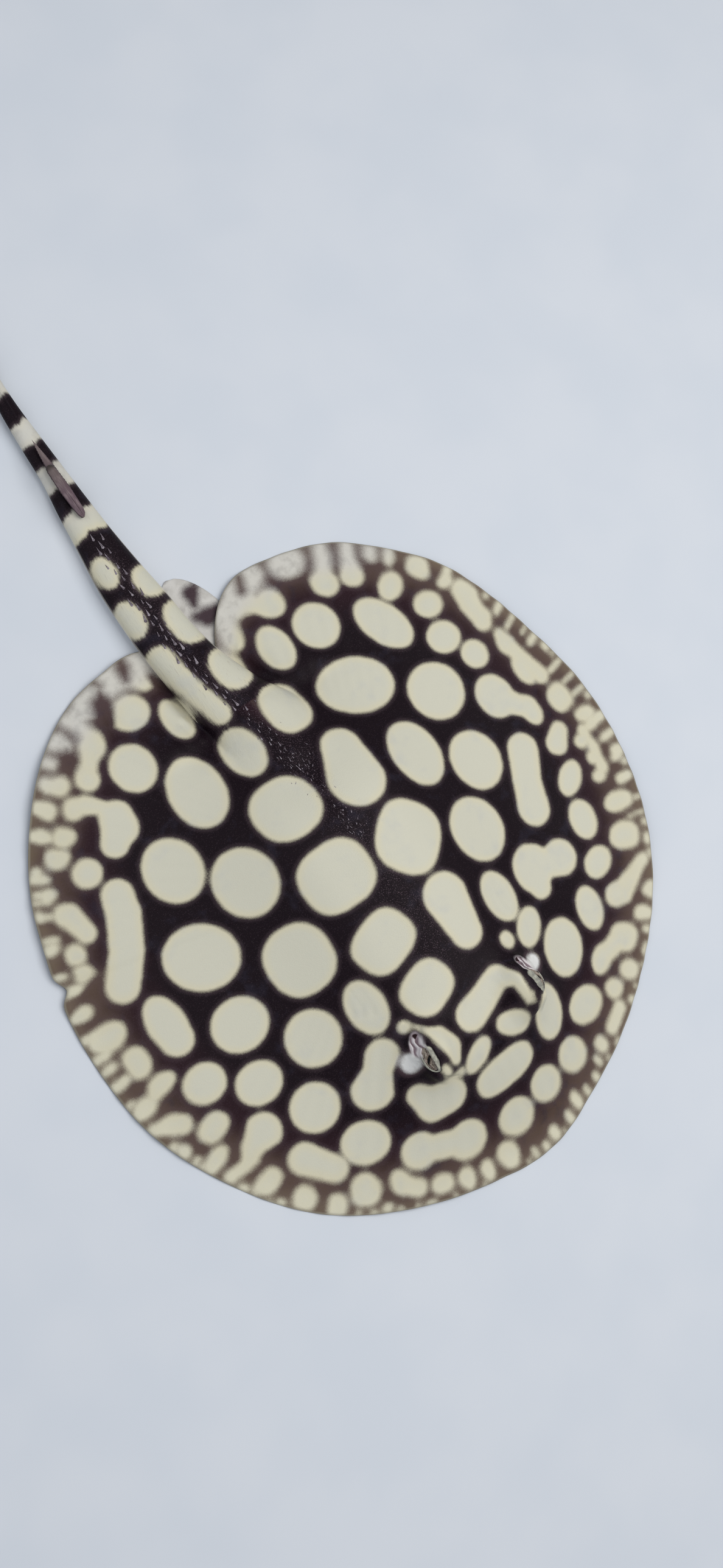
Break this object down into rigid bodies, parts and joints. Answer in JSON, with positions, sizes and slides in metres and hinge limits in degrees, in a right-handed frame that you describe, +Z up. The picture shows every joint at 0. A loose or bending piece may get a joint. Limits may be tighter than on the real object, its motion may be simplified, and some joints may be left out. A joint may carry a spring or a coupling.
{
  "type": "freshwater stingray",
  "caption": "Life-size still model of a polka-dotted freshwater stingray lying flat on its belly, wings spread, tail laid out behind it.",
  "frame": {"origin": "on the floor, on the flat of the belly under the middle of the disc", "axes": "+Y towards the snout, +X towards the animal's right, +Z up"},
  "size_m": [0.3358, 0.6139, 0.0506],
  "materials": {
    "skin": "wet, fine-grained fish skin, purple-black with pale ivory spots",
    "eye": "glossy, grey-beige iris with a black slit pupil",
    "sting": "satin, mauve-brown bony blade"
  },
  "bodies": {
    "root": {"head": "skin", "trunk": "skin", "wing_right": "skin", "wing_left": "skin", "pelvic_fin_right": "skin", "pelvic_fin_left": "skin", "tail_root": "skin", "tail_middle": "skin", "tail_tip": "skin", "tail_fold_upper": "skin", "tail_fold_lower": "skin", "eye_right": "eye", "eye_left": "eye", "sting_lower": "sting", "sting_upper": "sting"}
  },
  "joints": []
}
